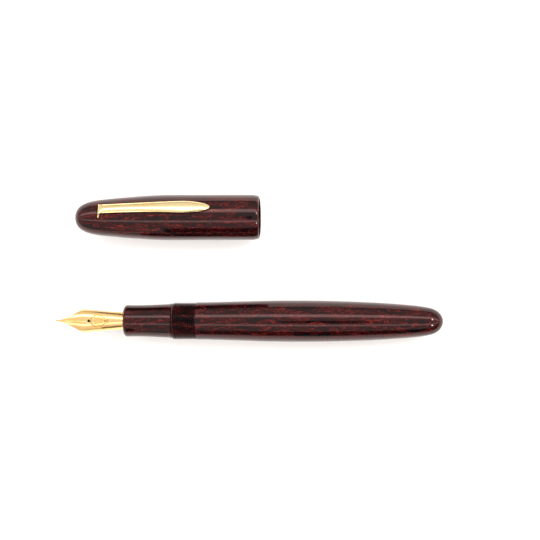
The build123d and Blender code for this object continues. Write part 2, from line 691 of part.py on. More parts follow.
PEN_PIECES = [
    barrel,
    section,
    section_o_ring,
    nib_housing,
    ink_inlet,
    nib,
    nib_tipping,
    feed,
    converter_tube,
    converter_band,
    converter_guide,
    converter_drive_nut,
    converter_knob,
    piston_rod,
    piston_head,
    piston_seal,
]
CAP_PIECES = [cap_shell, inner_cap, clip_keeper, clip]

os.makedirs("parts", exist_ok=True)
for piece in PEN_PIECES:
    write(piece.__name__, PEN_PLACE * piece())
for piece in CAP_PIECES:
    write(piece.__name__, CAP_PLACE * Rot(-CLIP_LEAN, 0, 0) * piece())
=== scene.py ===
"""Fountain pen of marbled hard rubber, uncapped, with its cap beside it: looks, light and camera."""
import math

import bmesh
import bpy
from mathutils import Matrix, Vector


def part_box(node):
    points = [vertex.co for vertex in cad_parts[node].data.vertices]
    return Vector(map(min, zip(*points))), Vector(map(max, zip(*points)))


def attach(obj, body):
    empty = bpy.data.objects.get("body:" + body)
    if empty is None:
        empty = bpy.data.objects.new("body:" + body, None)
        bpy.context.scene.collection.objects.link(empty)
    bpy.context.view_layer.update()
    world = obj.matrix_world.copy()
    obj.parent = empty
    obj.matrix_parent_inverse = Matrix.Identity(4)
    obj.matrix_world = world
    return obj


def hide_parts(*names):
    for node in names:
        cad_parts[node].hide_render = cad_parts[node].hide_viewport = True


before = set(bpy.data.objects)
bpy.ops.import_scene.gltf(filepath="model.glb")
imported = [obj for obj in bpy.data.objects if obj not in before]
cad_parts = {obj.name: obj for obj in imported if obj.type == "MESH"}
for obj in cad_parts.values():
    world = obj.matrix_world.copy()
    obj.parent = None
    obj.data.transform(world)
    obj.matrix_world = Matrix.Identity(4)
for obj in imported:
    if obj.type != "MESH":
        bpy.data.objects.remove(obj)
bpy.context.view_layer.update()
MM = 0.001

# ---- places and sizes, in millimetres, worked out from the frame ----


def low(node, axis):
    """The lowest place of a CAD node on an axis."""
    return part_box(node)[0][axis] / MM


def high(node, axis):
    """The highest place of a CAD node on an axis."""
    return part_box(node)[1][axis] / MM


def middle(node, axis):
    """The middle of a CAD node on an axis."""
    return (low(node, axis) + high(node, axis)) / 2


PEN_Y, PEN_Z = middle("barrel", 1), middle("barrel", 2)
CAP_Y, CAP_Z = middle("inner_cap", 1), middle("inner_cap", 2)
NIB_TIP_X = low("nib", 0)
SECTION_FRONT_X = low("section", 0)
JOINT_X = low("barrel", 0)
BARREL_END_X = high("barrel", 0)
BARREL_RADIUS = PEN_Z - low("barrel", 2)
CAP_END_X = low("cap_shell", 0)
CAP_MOUTH_X = high("cap_shell", 0)
CAP_RADIUS = CAP_Z - low("cap_shell", 2)
CAP_WAIST_RADIUS = CAP_RADIUS - 0.03
INNER_CAP_FRONT_X = high("inner_cap", 0)
INNER_CAP_BACK_X = low("inner_cap", 0)

THREAD_RADIUS = 6.57
THREAD_PITCH = 0.715
THREAD_STARTS = 3
THREAD_DEPTH = 0.4
THREAD_END_X = JOINT_X + 8.7
# half width of a thread's groove, as a share of its pitch
THREAD_GROOVE = 0.38
CAP_THREAD_GROOVE = 0.4
TENON_GROOVE = 0.36
TENON_PITCH = 1.0
TENON_THREAD_DEPTH = 0.38
BELLY_X = BARREL_END_X - 50.7
CLIP_LEAN = math.radians(23.1)
CLIP_FOOT_X = CAP_END_X + 9.3
CLIP_TIP_X = CAP_END_X + 49.15
CLIP_SHEET = 0.6
CLIP_CROWN = 0.5
FOOT_SLANT = math.radians(15)
FOOT_TOP_RADIUS = 7.0
FOOT_DEPTH = 4.2
FOOT_NEAR_HALF = 3.0
FOOT_FAR_HALF = 1.9
SLOT_PLAY = 0.2
NIB_SHOULDER_X = NIB_TIP_X + 10.0
BREATHER_X = NIB_TIP_X + 12.3

# ---- small helpers ----


def bezier(start, pull_a, pull_b, end, count=24):
    """Points of a cubic curve, both ends included."""
    points = []
    for i in range(count + 1):
        t = i / count
        s = 1 - t
        weights = (s * s * s, 3 * s * s * t, 3 * s * t * t, t * t * t)
        pairs = list(zip(weights, (start, pull_a, pull_b, end)))
        points.append(tuple(sum(w * p[k] for w, p in pairs) for k in (0, 1)))
    return points


def straight(start, end, step):
    """Points of a straight line no further apart than step, both ends included."""
    count = max(1, math.ceil(math.dist(start, end) / step))
    return [tuple(start[k] + (end[k] - start[k]) * i / count for k in (0, 1)) for i in range(count + 1)]


def outline(*runs):
    """Joins runs of points, leaving out repeats."""
    points = []
    for run in runs:
        for p in run:
            if not points or math.dist(points[-1], p) > 1e-5:
                points.append(p)
    return points


def smoothstep(a, b, x):
    """Eases from 0 at a to 1 at b. a may be the larger."""
    t = min(1.0, max(0.0, (x - a) / (b - a)))
    return t * t * (3 - 2 * t)


def soften(mesh, sharp):
    """Smooth shading, except at edges that turn by more than sharp degrees."""
    mesh.shade_smooth()
    mesh.set_sharp_from_angle(angle=math.radians(sharp))


def weld(mesh, distance, sharp, degenerate=False):
    """Joins touching vertices, turns every face outwards and shades the result."""
    work = bmesh.new()
    work.from_mesh(mesh)
    bmesh.ops.remove_doubles(work, verts=work.verts, dist=distance)
    if degenerate:
        bmesh.ops.dissolve_degenerate(work, edges=work.edges, dist=1e-8)
    bmesh.ops.recalc_face_normals(work, faces=work.faces)
    work.to_mesh(mesh)
    work.free()
    soften(mesh, sharp)


def add_mesh(name, points, faces, body, node, materials, sharp=35):
    """A mesh object from points in millimetres, riding a body in place of a CAD node."""
    mesh = bpy.data.meshes.new(name)
    mesh.from_pydata([(x * MM, y * MM, z * MM) for x, y, z in points], [], faces)
    mesh.update()
    soften(mesh, sharp)
    piece = bpy.data.objects.new(name, mesh)
    bpy.context.scene.collection.objects.link(piece)
    for material in materials:
        mesh.materials.append(material)
    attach(piece, body)
    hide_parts(node)
    return piece


def lathe(points, centre, segments, offset=None, closed=False, turn=0.0):
    """Vertices and faces of a turned shape. offset(x, radius, angle) moves a vertex out or in."""
    verts, rings, faces = [], [], []
    cy, cz = centre
    for x, radius in points:
        if radius < 1e-6:
            rings.append([len(verts)])
            verts.append((x, cy, cz))
            continue
        ring = []
        for i in range(segments):
            angle = 2 * math.pi * i / segments
            r = radius + (offset(x, radius, angle) if offset else 0.0)
            ring.append(len(verts))
            verts.append((x, cy + r * math.cos(angle + turn), cz + r * math.sin(angle + turn)))
        rings.append(ring)
    pairs = list(zip(rings, rings[1:]))
    if closed:
        pairs.append((rings[-1], rings[0]))
    for a, b in pairs:
        for i in range(segments):
            j = (i + 1) % segments
            if len(a) == 1 and len(b) == 1:
                continue
            if len(a) == 1:
                faces.append((a[0], b[j], b[i]))
            elif len(b) == 1:
                faces.append((a[i], a[j], b[0]))
            else:
                faces.append((a[i], a[j], b[j], b[i]))
    return verts, faces


def groove(x, start_x, angle, pitch, starts, width, depth):
    """Depth of a right-handed V thread at a place and angle: nothing on the crest, depth at the root."""
    phase = ((x - start_x) / pitch - starts * angle / (2 * math.pi)) % 1.0
    near = abs(phase - 0.5) / width
    return depth * (1 - near) ** 0.95 if near < 1 else 0.0


# ---- materials ----


def new_material(name):
    """A material with its node tree's nodes and links, and its shader."""
    material = bpy.data.materials.new(name)
    material.use_nodes = True
    nodes = material.node_tree.nodes
    return material, nodes, material.node_tree.links, nodes["Principled BSDF"]


def mapped_noise(nodes, links, coordinates, stretch, scale, detail, roughness):
    """Noise over object coordinates, stretched along the axis of the pen."""
    mapping = nodes.new("ShaderNodeMapping")
    mapping.inputs["Scale"].default_value = stretch
    links.new(coordinates, mapping.inputs["Vector"])
    noise = nodes.new("ShaderNodeTexNoise")
    noise.inputs["Scale"].default_value = scale
    noise.inputs["Detail"].default_value = detail
    noise.inputs["Roughness"].default_value = roughness
    links.new(mapping.outputs["Vector"], noise.inputs["Vector"])
    return noise.outputs["Fac"]


def ramp(nodes, links, factor, stops):
    """Colour by a factor, from stops of place and colour."""
    node = nodes.new("ShaderNodeValToRGB")
    elements = node.color_ramp.elements
    for i, (position, colour) in enumerate(stops):
        element = elements[i] if i < 2 else elements.new(position)
        element.position = position
        element.color = (*colour, 1.0)
    links.new(factor, node.inputs["Fac"])
    return node.outputs["Color"]


def maths(nodes, links, operation, a, b):
    """Result of a Math node on two numbers or outputs."""
    node = nodes.new("ShaderNodeMath")
    node.operation = operation
    for socket, value in zip(node.inputs, (a, b)):
        if isinstance(value, (int, float)):
            socket.default_value = value
        else:
            links.new(value, socket)
    return node.outputs["Value"]


def mix_colour(nodes, links, factor, surface, colour):
    """Mixes a plain colour into a surface's colour."""
    node = nodes.new("ShaderNodeMix")
    node.data_type = "RGBA"
    links.new(factor, node.inputs["Factor"])
    # a Mix node's sockets share names between data types: 6, 7 and output 2 are the colours
    links.new(surface, node.inputs[6])
    node.inputs[7].default_value = (*colour, 1.0)
    return node.outputs[2]


def bump(nodes, links, height, strength, distance, shader):
    """Fine unevenness of a shader's surface."""
    node = nodes.new("ShaderNodeBump")
    node.inputs["Strength"].default_value = strength
    node.inputs["Distance"].default_value = distance
    links.new(height, node.inputs["Height"])
    links.new(node.outputs["Normal"], shader.inputs["Normal"])


def shifted(nodes, links, coordinates, amount, scale, detail):
    """Coordinates pushed about by slow noise, so that streaks wander."""
    noise = nodes.new("ShaderNodeTexNoise")
    noise.inputs["Scale"].default_value = scale
    noise.inputs["Detail"].default_value = detail
    links.new(coordinates, noise.inputs["Vector"])
    centred = nodes.new("ShaderNodeVectorMath")
    centred.operation = "SUBTRACT"
    centred.inputs[1].default_value = (0.5, 0.5, 0.5)
    links.new(noise.outputs["Color"], centred.inputs[0])
    scaled = nodes.new("ShaderNodeVectorMath")
    scaled.operation = "SCALE"
    scaled.inputs["Scale"].default_value = amount
    links.new(centred.outputs["Vector"], scaled.inputs[0])
    added = nodes.new("ShaderNodeVectorMath")
    added.operation = "ADD"
    links.new(coordinates, added.inputs[0])
    links.new(scaled.outputs["Vector"], added.inputs[1])
    return added.outputs["Vector"]


def ebonite(name, shift, darker, gloss=(0.05, 0.13), specular=0.5):
    """Polished hard rubber: black, streaked and flecked with dark red along the rod it was turned from.

    shift picks the place in the rod, darker takes red away, gloss is the range of roughness.
    """
    material, nodes, links, shader = new_material(name)
    coordinates = nodes.new("ShaderNodeTexCoord").outputs["Object"]
    moved = nodes.new("ShaderNodeMapping")
    moved.inputs["Location"].default_value = shift
    links.new(coordinates, moved.inputs["Vector"])
    place = moved.outputs["Vector"]
    wandering = shifted(nodes, links, place, 0.006, 90.0, 1.0)
    warped = shifted(nodes, links, wandering, 0.0012, 420.0, 2.0)
    patches = mapped_noise(nodes, links, warped, (0.3, 1.0, 1.0), 420, 2.0, 0.5)
    streaks = mapped_noise(nodes, links, warped, (0.11, 1.0, 1.0), 1600, 4.0, 0.6)
    flecks = mapped_noise(nodes, links, warped, (0.20, 1.0, 1.0), 3600, 3.0, 0.6)
    heavy = maths(nodes, links, "MULTIPLY", patches, 0.14)
    medium = maths(nodes, links, "MULTIPLY", streaks, 0.38)
    fine = maths(nodes, links, "MULTIPLY", flecks, 0.48)
    # long all-black swoops
    swoops = mapped_noise(nodes, links, warped, (0.10, 1.0, 1.0), 620, 1.0, 0.5)
    black = nodes.new("ShaderNodeMapRange")
    black.interpolation_type = "SMOOTHSTEP"
    black.inputs["From Min"].default_value = 0.56
    black.inputs["From Max"].default_value = 0.68
    black.inputs["To Min"].default_value = darker
    black.inputs["To Max"].default_value = 0.12 + darker
    links.new(swoops, black.inputs["Value"])
    blend = maths(nodes, links, "ADD", maths(nodes, links, "ADD", heavy, medium), fine)
    blend = maths(nodes, links, "SUBTRACT", blend, black.outputs["Result"])
    colour = ramp(nodes, links, blend, [
        (0.42, (0.0020, 0.0016, 0.0020)),
        (0.475, (0.0100, 0.0014, 0.0015)),
        (0.515, (0.0240, 0.0018, 0.0018)),
        (0.565, (0.0680, 0.0055, 0.0048)),
        (0.63, (0.1500, 0.0170, 0.0130)),
    ])
    links.new(colour, shader.inputs["Base Color"])
    # hand polish: a little haze, and hairlines along the work
    haze = mapped_noise(nodes, links, place, (1.0, 1.0, 1.0), 240, 3.0, 0.5)
    rough = nodes.new("ShaderNodeMapRange")
    rough.inputs["To Min"].default_value, rough.inputs["To Max"].default_value = gloss
    links.new(haze, rough.inputs["Value"])
    links.new(rough.outputs["Result"], shader.inputs["Roughness"])
    shader.inputs["IOR"].default_value = 1.45
    shader.inputs["Specular IOR Level"].default_value = specular
    shader.inputs["Specular Tint"].default_value = (1.0, 0.60, 0.57, 1.0)
    hairlines = mapped_noise(nodes, links, place, (0.5, 1.0, 1.0), 2400, 4.0, 0.6)
    bump(nodes, links, hairlines, 0.05, 0.00002, shader)
    return material


def metal(name, colour, deep, roughness, painted_shade=None):
    """Polished metal with faint tonal change, fine scratches and uneven polish, and painted shade in its
    hollows when a shade colour is given.
    """
    material, nodes, links, shader = new_material(name)
    coordinates = nodes.new("ShaderNodeTexCoord").outputs["Object"]
    tone = mapped_noise(nodes, links, coordinates, (1.0, 1.0, 1.0), 160, 3.0, 0.5)
    surface = ramp(nodes, links, tone, [(0.3, deep), (0.6, colour)])
    if painted_shade:
        # painted shade: a darker colour mixed in where the mesh's shade mask attribute marks hollows
        shade_mask = nodes.new("ShaderNodeAttribute")
        shade_mask.attribute_name = "shade_mask"
        surface = mix_colour(nodes, links, shade_mask.outputs["Fac"], surface, painted_shade)
    links.new(surface, shader.inputs["Base Color"])
    shader.inputs["Metallic"].default_value = 1.0
    wear = mapped_noise(nodes, links, coordinates, (0.35, 1.0, 1.0), 900, 4.0, 0.6)
    rough = nodes.new("ShaderNodeMapRange")
    rough.inputs["To Min"].default_value = roughness * 0.7
    rough.inputs["To Max"].default_value = roughness * 1.4
    links.new(wear, rough.inputs["Value"])
    links.new(rough.outputs["Result"], shader.inputs["Roughness"])
    bump(nodes, links, wear, 0.02, 0.00003, shader)
    return material


def moulded(name, colour, light, roughness, scale=700, strength=0.08):
    """Moulded or turned plastic and rubber with a fine mottled surface."""
    material, nodes, links, shader = new_material(name)
    coordinates = nodes.new("ShaderNodeTexCoord").outputs["Object"]
    tone = mapped_noise(nodes, links, coordinates, (1.0, 1.0, 1.0), scale, 4.0, 0.6)
    links.new(ramp(nodes, links, tone, [(0.35, colour), (0.7, light)]), shader.inputs["Base Color"])
    rough = nodes.new("ShaderNodeMapRange")
    rough.inputs["To Min"].default_value = roughness * 0.8
    rough.inputs["To Max"].default_value = roughness * 1.2
    links.new(tone, rough.inputs["Value"])
    links.new(rough.outputs["Result"], shader.inputs["Roughness"])
    bump(nodes, links, tone, strength, 0.00005, shader)
    return material


def clear_plastic(name):
    """Clear plastic with faint flow lines."""
    material, nodes, links, shader = new_material(name)
    coordinates = nodes.new("ShaderNodeTexCoord").outputs["Object"]
    flow = mapped_noise(nodes, links, coordinates, (0.3, 1.0, 1.0), 500, 3.0, 0.5)
    tint = ramp(nodes, links, flow, [(0.3, (0.86, 0.9, 0.92)), (0.7, (0.96, 0.98, 0.99))])
    links.new(tint, shader.inputs["Base Color"])
    shader.inputs["Transmission Weight"].default_value = 1.0
    shader.inputs["IOR"].default_value = 1.5
    shader.inputs["Roughness"].default_value = 0.05
    bump(nodes, links, flow, 0.05, 0.00003, shader)
    return material


EBONITE_PEN = ebonite("ebonite_pen", (0.0, 0.0, 0.0), darker=0.010)
# a darker copy of the pen's ebonite for the thread: painted shade for its grooves, with less polish
EBONITE_THREAD_SHADED = ebonite("ebonite_thread_shaded", (0.0, 0.0, 0.0), darker=0.030, gloss=(0.14, 0.24), specular=0.28)
EBONITE_SECTION = ebonite("ebonite_section", (0.011, 0.004, -0.009), darker=0.026)
EBONITE_CAP = ebonite("ebonite_cap", (0.031, 0.012, 0.017), darker=0.008)
CLIP_GOLD = metal("clip_gold", (1.0, 0.79, 0.42), (1.0, 0.72, 0.34), 0.16)
# the nib's engraved lines and slit edges get a painted shade colour, standing in for the shade in these
# grooves
NIB_GOLD = metal("nib_gold", (1.0, 0.66, 0.28), (1.0, 0.58, 0.21), 0.18, painted_shade=(0.55, 0.25, 0.05))
HARD_METAL = metal("tipping_alloy", (0.72, 0.69, 0.66), (0.6, 0.56, 0.52), 0.25)
PLATED = metal("plated_band", (0.93, 0.72, 0.36), (0.85, 0.6, 0.26), 0.15)
LINER = moulded("liner_black", (0.012, 0.011, 0.011), (0.022, 0.019, 0.019), 0.3)
FEED_BLACK = moulded("feed_black", (0.011, 0.011, 0.012), (0.024, 0.023, 0.023), 0.45, 1400, 0.15)
PLASTIC = moulded("plastic_black", (0.02, 0.02, 0.022), (0.035, 0.035, 0.038), 0.4)
RUBBER = moulded("rubber_seal", (0.014, 0.014, 0.014), (0.03, 0.03, 0.03), 0.6, 900, 0.2)
KNOB_BLACK = moulded("knob_black", (0.016, 0.016, 0.018), (0.026, 0.026, 0.03), 0.22)
CLEAR = clear_plastic("clear_reservoir")

# the CAD pieces that are shown as they are
NODE_MATERIALS = {
    "section_o_ring": RUBBER,
    "nib_housing": PLASTIC,
    "ink_inlet": PLASTIC,
    "feed": FEED_BLACK,
    "converter_tube": CLEAR,
    "converter_band": PLATED,
    "converter_guide": PLASTIC,
    "converter_drive_nut": PLASTIC,
    "converter_knob": KNOB_BLACK,
    "piston_rod": PLASTIC,
    "piston_head": PLASTIC,
    "piston_seal": RUBBER,
    "inner_cap": LINER,
    "clip_keeper": LINER,
}


def dress(node, material):
    """Gives a CAD piece its material."""
    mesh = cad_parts[node].data
    mesh.materials.clear()
    mesh.materials.append(material)


for node, material in NODE_MATERIALS.items():
    dress(node, material)

# ---- turned hard rubber pieces ----


def tenon_groove(x, angle):
    """Depth of the screw thread between section and barrel."""
    return groove(x, JOINT_X, angle, TENON_PITCH, 1, TENON_GROOVE, TENON_THREAD_DEPTH)


def barrel():
    """Barrel with the cap's thread, a long belly, a domed end and a threaded bore."""
    shoulder = (THREAD_END_X, THREAD_RADIUS + 0.06)
    belly = (BELLY_X, BARREL_RADIUS)
    dome_start = (BARREL_END_X - 4.1, 4.7)
    tenon_bore = 5.25
    counterbore = tenon_bore + 0.3
    counterbore_end = JOINT_X + 1.1
    tenon_bore_end = JOINT_X + 8.8
    bore = 4.35
    bore_end = BARREL_END_X - 12.0
    points = outline(
        [(bore_end + bore / 2, 0.0)],
        [(bore_end, bore)],
        straight((bore_end - 0.4, bore), (tenon_bore_end, bore), 4.0),
        straight((tenon_bore_end, tenon_bore), (counterbore_end, tenon_bore), 0.06),
        [(counterbore_end, counterbore), (JOINT_X, counterbore)],
        [(JOINT_X, THREAD_RADIUS - THREAD_DEPTH)],
        straight((JOINT_X + THREAD_DEPTH, THREAD_RADIUS), (THREAD_END_X - 0.02, THREAD_RADIUS), 0.05),
        bezier(shoulder, (BELLY_X - 16.0, 7.02), (BELLY_X - 16.0, BARREL_RADIUS), belly, 60),
        bezier(belly, (BELLY_X + 19.0, BARREL_RADIUS), (BARREL_END_X - 8.9, 6.1), dome_start, 60),
        bezier(dome_start, (BARREL_END_X - 1.4, 3.88), (BARREL_END_X, 2.0), (BARREL_END_X, 0.0), 40),
    )

    def thread(x, radius, angle):
        if radius > THREAD_RADIUS - 0.01 and x < THREAD_END_X - 0.01:
            fade = smoothstep(THREAD_END_X, THREAD_END_X - 0.35, x)
            cut = groove(x, JOINT_X, angle, THREAD_PITCH, THREAD_STARTS, THREAD_GROOVE, THREAD_DEPTH)
            return -cut * fade
        if abs(radius - tenon_bore) < 0.01:
            return tenon_groove(x, angle) * smoothstep(tenon_bore_end, JOINT_X + 8.0, x)
        return 0.0

    verts, faces = lathe(points, (PEN_Y, PEN_Z), 240, thread)
    materials = [EBONITE_PEN, EBONITE_THREAD_SHADED]
    piece = add_mesh("barrel_body", verts, faces, "barrel", "barrel", materials)
    # the thread gets a duller ebonite, darkened as painted shade for its grooves
    thread_floor = THREAD_RADIUS - THREAD_DEPTH - 0.1
    for face in piece.data.polygons:
        x, y, z = (value / MM for value in face.center)
        if JOINT_X < x < THREAD_END_X and math.hypot(y - PEN_Y, z - PEN_Z) > thread_floor:
            face.material_index = 1


def section():
    """Grip section with its rounded lip, waist, bevelled rear ring and screwed tenon."""
    lip_radius = 5.66
    back_radius = 6.05
    rim = (SECTION_FRONT_X, lip_radius - 1.9)
    lip = (SECTION_FRONT_X + 1.35, lip_radius)
    back_edge = (JOINT_X - 1.0, back_radius)
    ring_radius = back_radius + 0.14
    tenon = 5.2
    tenon_root = tenon - 0.45
    tenon_end = JOINT_X + 8.0
    housing_back = SECTION_FRONT_X + 14.0
    housing_bore = 3.75
    tenon_bore = 4.05
    points = outline(
        bezier(rim, (SECTION_FRONT_X, 4.95), (SECTION_FRONT_X + 0.45, lip_radius), lip, 20),
        bezier(lip, (SECTION_FRONT_X + 5.0, 5.52), (SECTION_FRONT_X + 9.5, 5.66), back_edge, 50),
        [(JOINT_X - 0.75, ring_radius), (JOINT_X - 0.3, ring_radius)],
        [(JOINT_X - 0.03, back_radius - 0.1), (JOINT_X - 0.03, tenon_root)],
        [(JOINT_X + 1.0, tenon_root)],
        straight((JOINT_X + 1.0, tenon), (tenon_end - 0.4, tenon), 0.07),
        [(tenon_end, tenon - 0.4), (tenon_end, tenon_bore)],
        [(housing_back, tenon_bore), (housing_back, housing_bore)],
        [(SECTION_FRONT_X, housing_bore)],
    )

    def thread(x, radius, angle):
        if abs(radius - tenon) > 0.001:
            return 0.0
        return -tenon_groove(x, angle) * smoothstep(JOINT_X + 1.0, JOINT_X + 1.3, x)

    verts, faces = lathe(points, (PEN_Y, PEN_Z), 192, thread, closed=True)
    add_mesh("grip_section", verts, faces, "section", "section", [EBONITE_SECTION])


def cut_away(piece, name, verts, faces):
    """Takes a closed cutter's volume out of a piece."""
    mesh = bpy.data.meshes.new(name)
    mesh.from_pydata([(x * MM, y * MM, z * MM) for x, y, z in verts], [], faces)
    cutter = bpy.data.objects.new(name, mesh)
    bpy.context.scene.collection.objects.link(cutter)
    change = piece.modifiers.new("cut", "BOOLEAN")
    change.operation = "DIFFERENCE"
    change.object = cutter
    bpy.context.view_layer.update()
    shape = piece.evaluated_get(bpy.context.evaluated_depsgraph_get())
    result = bpy.data.meshes.new_from_object(shape)
    piece.modifiers.clear()
    piece.data = result
    bpy.data.objects.remove(cutter)


def leaned(x, across, out):
    """A place on the leaned cap: along its axis, across the clip, and out from the axis."""
    y = CAP_Y + across * math.cos(CLIP_LEAN) + out * math.sin(CLIP_LEAN)
    z = CAP_Z - across * math.sin(CLIP_LEAN) + out * math.cos(CLIP_LEAN)
    return (x, y, z)


BOX_FACES = [(0, 3, 2, 1), (4, 5, 6, 7), (0, 1, 5, 4), (1, 2, 6, 5), (2, 3, 7, 6), (3, 0, 4, 7)]


def cap():
    """Cap with its domed end, slight belly, rounded mouth, inner thread and the clip's slot."""
    cheek = (CAP_END_X + 11.1, 6.62)
    belly = (CAP_END_X + 34.5, CAP_RADIUS)
    waist = (CLIP_TIP_X + 0.6, CAP_WAIST_RADIUS)
    liner_front = INNER_CAP_FRONT_X
    liner_back = INNER_CAP_BACK_X
    minor = THREAD_RADIUS - THREAD_DEPTH + 0.08
    thread_x = CAP_MOUTH_X - 11.0
    mouth_bore = 6.87
    relief_bore = 6.45
    liner_bore = 5.55
    keeper_bore = 4.6
    edge = (CAP_MOUTH_X - 2.6, CAP_WAIST_RADIUS)
    lip = (CAP_MOUTH_X - 0.8, CAP_WAIST_RADIUS - 0.25)
    points = outline(
        bezier((CAP_END_X, 0.0), (CAP_END_X, 4.72), (CAP_END_X + 4.1, 5.97), cheek, 60),
        bezier(cheek, (CAP_END_X + 16.0, 7.07), (CAP_END_X + 26.3, CAP_RADIUS), belly, 50),
        bezier(belly, (CAP_END_X + 39.0, CAP_RADIUS), (CLIP_TIP_X - 3.0, CAP_WAIST_RADIUS), waist, 16),
        straight(waist, edge, 2.0),
        bezier(edge, (CAP_MOUTH_X - 1.9, CAP_WAIST_RADIUS - 0.02), lip, lip, 8),
        bezier(lip, (CAP_MOUTH_X - 0.3, 7.68), (CAP_MOUTH_X, 7.5), (CAP_MOUTH_X, 7.12), 8),
        [(CAP_MOUTH_X - 0.15, mouth_bore), (CAP_MOUTH_X - 2.4, mouth_bore)],
        straight((CAP_MOUTH_X - 2.8, minor), (thread_x, minor), 0.08),
        [(thread_x - 0.4, relief_bore), (liner_front - 1.3, relief_bore), (liner_front - 1.3, liner_bore)],
        [(liner_back - 0.25, liner_bore), (liner_back - 0.25, keeper_bore)],
        [(CAP_END_X + 6.0, keeper_bore), (CAP_END_X + 4.8, 0.0)],
    )

    def thread(x, radius, angle):
        if abs(radius - minor) > 0.001:
            return 0.0
        return groove(x, thread_x, angle, THREAD_PITCH, THREAD_STARTS, CAP_THREAD_GROOVE, THREAD_DEPTH)

    verts, faces = lathe(points, (CAP_Y, CAP_Z), 192, thread, turn=-CLIP_LEAN)
    piece = add_mesh("cap_body", verts, faces, "cap", "cap_shell", [EBONITE_CAP])
    near, far = -FOOT_NEAR_HALF - SLOT_PLAY, FOOT_FAR_HALF + SLOT_PLAY
    bottom, top = -FOOT_DEPTH, 1.0
    corners = []
    for thickness in (-SLOT_PLAY, CLIP_SHEET + SLOT_PLAY):
        for across, up in ((near, bottom), (far, bottom), (far, top), (near, top)):
            x = CLIP_FOOT_X + up * math.sin(FOOT_SLANT) + thickness * math.cos(FOOT_SLANT)
            out = FOOT_TOP_RADIUS + up * math.cos(FOOT_SLANT) - thickness * math.sin(FOOT_SLANT)
            corners.append(leaned(x, across, out))
    cut_away(piece, "slot_cutter", corners, BOX_FACES)
    soften(piece.data, 35)


# ---- clip ----


def at_x(points, x):
    """Height of a curve of points at x, with x rising along the curve."""
    for (x0, y0), (x1, y1) in zip(points, points[1:]):
        if x <= x1:
            return y0 + (y1 - y0) * max(0.0, (x - x0) / (x1 - x0))
    return points[-1][1]


def clip_stations():
    """Outer and inner point, half widths on the pen's side and the far side, and crown, from tip to foot."""
    foot, tip = CLIP_FOOT_X, CLIP_TIP_X
    widest, root, bend_half = 2.225, 1.65, 1.8
    bend_x, bend_radius = foot + 1.9, 7.89
    tip_end = (tip, CAP_RADIUS + 0.7)
    over = bezier((bend_x, bend_radius), (foot + 12.0, 9.3), (tip - 10.0, 9.9), tip_end, 80)
    touch = (tip - 2.0, CAP_RADIUS + 0.15)
    under = outline(
        bezier((foot + 0.75, 6.9), (foot + 13.0, 8.35), (tip - 14.0, 8.95), touch, 80),
        bezier(touch, (tip - 1.1, CAP_RADIUS + 0.08), (tip, CAP_RADIUS + 0.3), tip_end, 12),
    )
    plan = outline(
        bezier((foot, bend_half), (foot + 0.5, root + 0.1), (foot + 1.2, root), (foot + 2.3, root), 20),
        bezier((foot + 2.3, root), (foot + 20.0, root), (tip - 13.0, widest), (tip - 9.0, widest), 40),
        bezier((tip - 9.0, widest), (tip - 6.0, widest), (tip, 1.45), (tip, 0.0), 60),
    )
    flared = -1.5
    flare = bezier(
        (flared, FOOT_NEAR_HALF), (-0.8, FOOT_NEAR_HALF - 0.1), (-0.5, bend_half + 0.1), (0.2, bend_half), 20
    )
    stations = []
    # the blade, with its stations closest together at the rounded tip
    blade_steps = 149
    for i in range(blade_steps + 1):
        x = tip - 0.004 - (tip - bend_x - 0.02) * (i / blade_steps) ** 1.35
        crown = CLIP_CROWN * smoothstep(tip, tip - 4.0, x)
        half = at_x(plan, x)
        stations.append(((x, at_x(over, x)), (x, at_x(under, x)), half, half, crown))
    # the bend
    foot_top = (foot, FOOT_TOP_RADIUS)
    bend = bezier((bend_x, bend_radius), (foot + 1.2, 7.62), (foot + 0.1, 7.5), foot_top, 20)
    inner_start = (bend_x, at_x(under, bend_x))
    sheet_x, sheet_out = CLIP_SHEET * math.cos(FOOT_SLANT), CLIP_SHEET * math.sin(FOOT_SLANT)
    inner_end = (foot + sheet_x, FOOT_TOP_RADIUS - sheet_out)
    inner_bend = straight(inner_start, inner_end, math.dist(inner_start, inner_end) / 19.9)
    for outer, inner in zip(bend[1:], inner_bend[1:]):
        crown = CLIP_CROWN * smoothstep(foot + 0.3, bend_x, outer[0])
        half = at_x(plan, outer[0])
        stations.append((outer, inner, half, half, crown))
    # the foot, down through the slot, with the corner of its near side cut off at the end
    foot_step = 0.1
    corner = 3.6
    for i in range(1, round(FOOT_DEPTH / foot_step) + 1):
        v = -foot_step * i
        outer = (foot + v * math.sin(FOOT_SLANT), FOOT_TOP_RADIUS + v * math.cos(FOOT_SLANT))
        inner = (outer[0] + sheet_x, outer[1] - sheet_out)
        half = (at_x(flare, v) if v > flared else FOOT_NEAR_HALF) - max(0.0, -corner - v)
        stations.append((outer, inner, half, FOOT_FAR_HALF, 0.0))
    return stations


